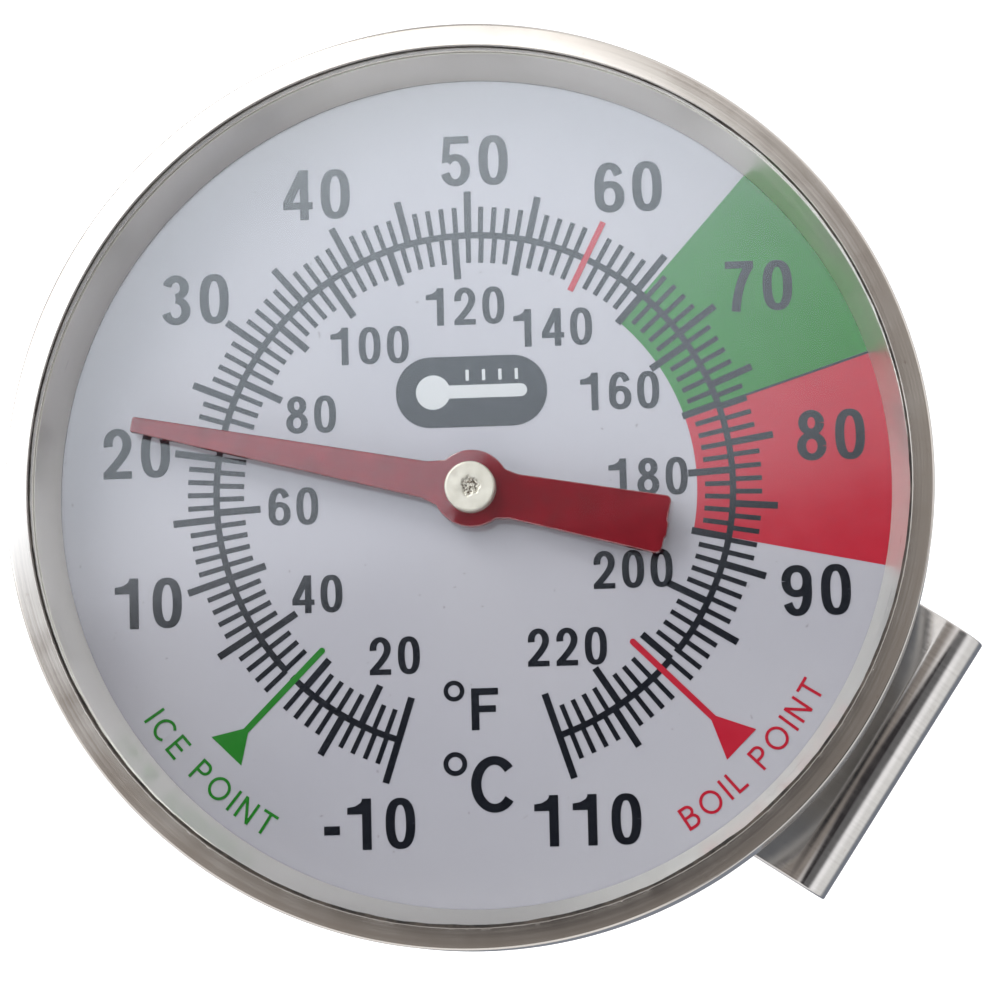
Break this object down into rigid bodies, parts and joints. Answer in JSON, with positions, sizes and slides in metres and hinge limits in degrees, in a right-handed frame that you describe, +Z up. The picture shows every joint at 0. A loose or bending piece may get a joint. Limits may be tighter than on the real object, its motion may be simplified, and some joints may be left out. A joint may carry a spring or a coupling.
{
  "type": "dial thermometer",
  "caption": "Bimetal dial thermometer with a round steel head facing up, a dual-scale dial under a flat lens, a slim probe stem, and a sliding sheet-metal pan clip.",
  "frame": {"origin": "centre of the flat end of the stem's tip", "axes": "+Z up the stem towards the head, so the dial faces +Z; +Y towards the top of the dial (50 degrees C), +X towards its right"},
  "size_m": [0.0527, 0.05, 0.1399],
  "materials": {
    "bezel_steel": "satin",
    "case_steel": "satin",
    "clip_steel": "satin",
    "stem_steel": "satin",
    "nut_steel": "satin",
    "spring_steel": "satin",
    "spacer_metal": "satin",
    "bush_brass": "satin",
    "bimetal_strip": "satin",
    "dial_white": "satin",
    "print_black": "satin",
    "print_green": "satin",
    "print_red": "satin",
    "pointer_red": "satin",
    "hub_silver": "satin",
    "seal_rubber": "matte",
    "lens_glass": "gloss"
  },
  "bodies": {
    "clip": {"pan_clip": "clip_steel"},
    "stem": {"stem_tube": "stem_steel", "stem_tip_plug": "stem_steel", "calibration_nut": "nut_steel", "neck_seal": "seal_rubber", "friction_washer": "spring_steel", "retaining_ring": "spring_steel", "upper_guide_bush": "bush_brass", "lower_guide_bush": "bush_brass", "coil_anchor": "bush_brass", "bimetal_coil": "bimetal_strip"},
    "head": {"case_cup": "case_steel", "dial_plate": "dial_white", "spacer_ring": "spacer_metal", "lens": "lens_glass", "lens_gasket": "seal_rubber", "bezel_ring": "bezel_steel"},
    "movement": {"coil_collar": "bush_brass", "pointer_shaft": "spring_steel", "pointer": "pointer_red", "pointer_hub": "hub_silver"}
  },
  "joints": [
    {"name": "clip_slide", "type": "slide", "parent": "clip", "child": "stem", "axis": [0, 0, 1], "range_m": [0, 0.11]},
    {"name": "calibration_turn", "type": "hinge", "parent": "stem", "child": "head", "pos_m": [0, 0, 0.13], "axis": [0, 0, 1], "continuous": true},
    {"name": "pointer_sweep", "type": "hinge", "parent": "stem", "child": "movement", "pos_m": [0, 0, 0.13], "axis": [0, 0, -1], "range_deg": [-83.7, 240.3], "stiffness_Nm_per_rad": 0.0002, "deforming": ["bimetal_coil"]}
  ]
}
